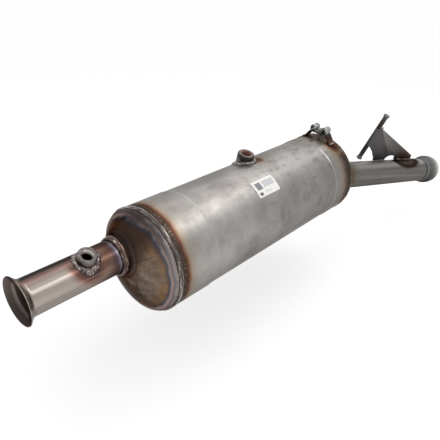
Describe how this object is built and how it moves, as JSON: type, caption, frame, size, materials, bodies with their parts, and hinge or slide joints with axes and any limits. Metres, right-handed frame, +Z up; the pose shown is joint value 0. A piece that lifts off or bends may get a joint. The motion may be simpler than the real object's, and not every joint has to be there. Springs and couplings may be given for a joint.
{
  "type": "diesel particulate filter",
  "caption": "Round exhaust can with a filter brick inside, off-centre flared inlet pipe, angled outlet pipe, sensor bosses, pipe clamp and hanger bracket.",
  "frame": {"origin": "centre of the inlet pipe's flared mouth, where the joint of the exhaust line holds the part", "axes": "+X along the can and the inlet pipe, from the inlet to the outlet; +Z up, from the can's axis towards the inlet pipe's axis; the outlet pipe runs down and towards -Y"},
  "size_m": [1.0705, 0.2115, 0.2248],
  "materials": {
    "shell_steel": "light warm grey stainless sheet, handled and slightly smudged",
    "tube_steel": "drawn stainless tube with heat tint near the welds",
    "scaled_steel": "pressed sheet with dark brown and golden heat scale",
    "weld_steel": "rippled weld metal",
    "boss_steel": "turned steel, tinted by the weld",
    "hanger_steel": "dark oxidised steel",
    "zinc_steel": "bright zinc-plated steel",
    "ceramic": "porous honeycomb ceramic",
    "fibre_mat": "compressed mineral fibre mat",
    "label_paper": "white paper label with plain grey fields"
  },
  "bodies": {
    "root": {"inlet_pipe": "tube_steel", "inlet_sensor_boss": "boss_steel", "inlet_boss_weld": "weld_steel", "inlet_pipe_weld": "weld_steel", "inlet_end_cone": "scaled_steel", "front_rim_weld": "weld_steel", "canister_shell": "shell_steel", "body_sensor_boss": "boss_steel", "body_boss_weld": "weld_steel", "label": "label_paper", "oxidation_catalyst": "ceramic", "catalyst_mat": "fibre_mat", "filter_substrate": "ceramic", "filter_mat": "fibre_mat", "rear_rim_weld": "weld_steel", "outlet_end_cone": "scaled_steel", "outlet_pipe_weld": "weld_steel", "outlet_pipe": "tube_steel", "pipe_holder": "hanger_steel", "holder_weld_left": "weld_steel", "holder_weld_right": "weld_steel", "pipe_clamp": "zinc_steel", "clamp_bolt": "zinc_steel", "clamp_nut": "zinc_steel", "hanger_plate": "hanger_steel", "hanger_rod": "hanger_steel", "hanger_rod_weld": "weld_steel", "hanger_top_weld": "weld_steel", "hanger_foot_weld": "weld_steel", "hanger_foot_weld_rear": "weld_steel"}
  },
  "joints": []
}
